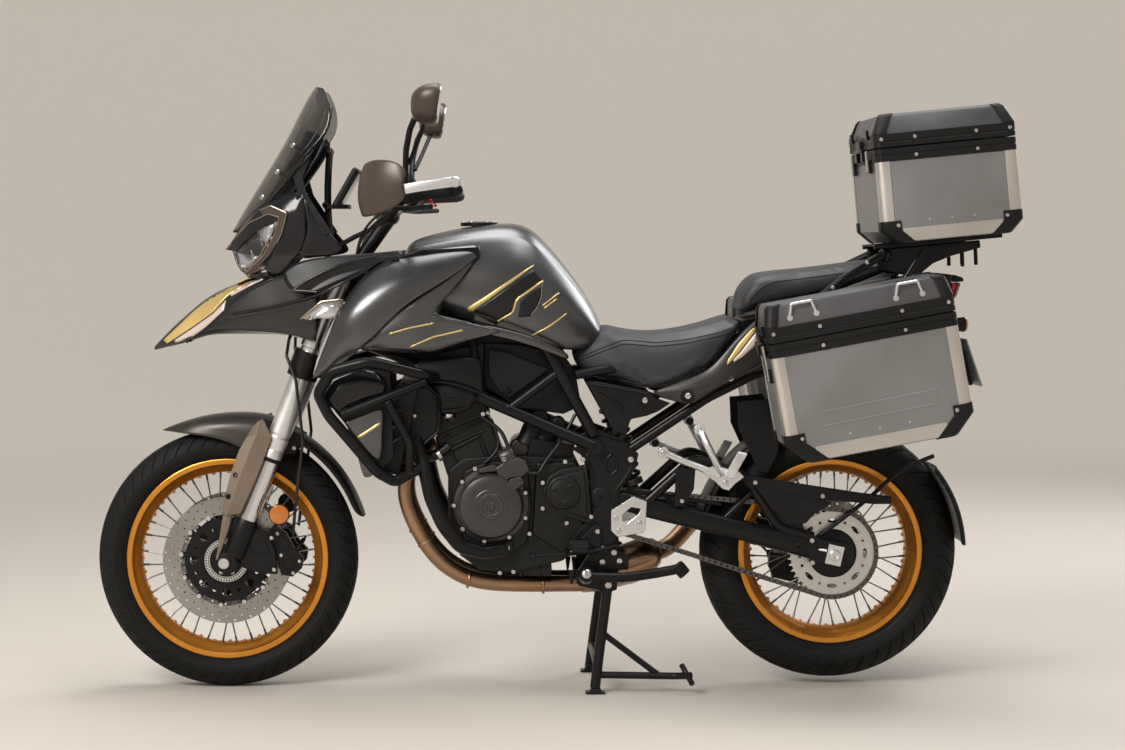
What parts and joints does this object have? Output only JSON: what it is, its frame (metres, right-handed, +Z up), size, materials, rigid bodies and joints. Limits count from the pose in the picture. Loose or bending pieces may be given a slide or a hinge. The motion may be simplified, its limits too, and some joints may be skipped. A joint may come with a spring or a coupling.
{
  "type": "adventure motorcycle",
  "caption": "Adventure motorcycle on its centre stand, with turning steering, wheels that spin, folding stands and aluminium cases with opening lids.",
  "frame": {"origin": "on the floor under the middle of the machine's length and width", "axes": "+Z up, +X to the rear, -Y to the rider's left"},
  "size_m": [2.3143, 0.958, 1.524],
  "materials": {
    "tyre": "moulded tread rubber",
    "gold_rim": "orange-gold anodised",
    "wheel_steel": "satin spokes, hub and discs",
    "black_metal": "satin black powder coat",
    "silver_alloy": "satin silver anodised",
    "fork_chrome": "hard chrome stanchion",
    "bronze_plastic": "bronze-brown satin",
    "graphite_plastic": "graphite satin",
    "black_rubber": "grip rubber",
    "hose_rubber": "smooth black",
    "black_plastic": "fine grain",
    "engine_black": "cast black enamel",
    "bronze_steel": "heat-tinted bronze",
    "graphite_paint": "matte metallic graphite",
    "bronze_paint": "matte bronze",
    "lamp_glass": "clear moulded lens",
    "tinted_screen": "smoke tint",
    "seat_vinyl": "grained vinyl",
    "red_lens": "clear red",
    "chain_steel": "oiled steel",
    "case_aluminium": "anodised sheet",
    "case_lid": "black frame with aluminium panel"
  },
  "bodies": {
    "chassis": {"main_frame": "black_metal", "engine": "engine_black", "swingarm": "black_metal", "rear_subframe": "black_metal", "fuel_tank": "graphite_paint", "rider_seat": "seat_vinyl", "pillion_seat": "seat_vinyl", "front_cowl": "black_plastic", "headlamp": "lamp_glass", "beak": "graphite_paint", "windscreen": "tinted_screen", "radiator": "black_metal", "exhaust": "bronze_steel", "instrument_panel": "black_plastic", "side_covers": "black_plastic", "side_shrouds": "graphite_paint", "tail_panels": "bronze_paint", "tail_lamp": "red_lens", "plate_holder": "black_plastic", "chain": "chain_steel", "rear_caliper": "black_metal", "rear_hugger": "black_plastic", "rear_shock": "black_metal", "footrests": "silver_alloy", "top_case_box": "case_aluminium", "pannier_boxes": "case_aluminium", "luggage_racks": "black_metal", "crash_bars": "black_metal"},
    "steering": {"fork_lowers": "fork_chrome", "fork_uppers": "silver_alloy", "yokes": "black_metal", "handlebar": "black_metal", "hand_controls": "black_rubber", "mirrors": "black_plastic", "handguards": "silver_alloy", "front_calipers": "black_metal", "fork_guards": "bronze_plastic", "front_mudguard": "graphite_plastic", "brake_hoses": "hose_rubber"},
    "front_wheel": {"front_rim": "gold_rim", "front_tyre": "tyre", "front_hub": "wheel_steel"},
    "rear_wheel": {"rear_rim": "gold_rim", "rear_tyre": "tyre", "rear_hub": "wheel_steel"},
    "pannier_lid_left": {"pannier_lid_left": "case_lid"},
    "pannier_lid_right": {"pannier_lid_right": "case_lid"},
    "top_case_lid": {"top_case_lid": "case_lid"},
    "centre_stand": {"centre_stand": "black_metal"},
    "side_stand": {"side_stand": "black_metal"}
  },
  "joints": [
    {"name": "steering_turn", "type": "hinge", "parent": "chassis", "child": "steering", "pos_m": [-0.56401, 0, 0.9], "axis": [0.3584, 0, 0.9336], "range_deg": [-32, 32]},
    {"name": "front_wheel_spin", "type": "hinge", "parent": "steering", "child": "front_wheel", "pos_m": [-0.828, 0, 0.3293], "axis": [0, 1, 0], "continuous": true},
    {"name": "rear_wheel_spin", "type": "hinge", "parent": "chassis", "child": "rear_wheel", "pos_m": [0.705, 0, 0.344], "axis": [0, 1, 0], "continuous": true},
    {"name": "centre_stand_fold", "type": "hinge", "parent": "chassis", "child": "centre_stand", "pos_m": [0.133, 0, 0.275], "axis": [0, -1, 0], "range_deg": [0, 80]},
    {"name": "side_stand_swing", "type": "hinge", "parent": "chassis", "child": "side_stand", "pos_m": [0.077, -0.17, 0.3], "axis": [0, 0.9397, -0.342], "range_deg": [0, 95]},
    {"name": "pannier_lid_left_open", "type": "hinge", "parent": "chassis", "child": "pannier_lid_left", "pos_m": [0.485, -0.362, 0.887], "axis": [0, -1, 0], "range_deg": [0, 95]},
    {"name": "pannier_lid_right_open", "type": "hinge", "parent": "chassis", "child": "pannier_lid_right", "pos_m": [0.485, 0.362, 0.887], "axis": [0, -1, 0], "range_deg": [0, 95]},
    {"name": "top_case_lid_open", "type": "hinge", "parent": "chassis", "child": "top_case_lid", "pos_m": [0.77995, 0, 1.36094], "axis": [0, -1, 0], "range_deg": [0, 80]}
  ]
}
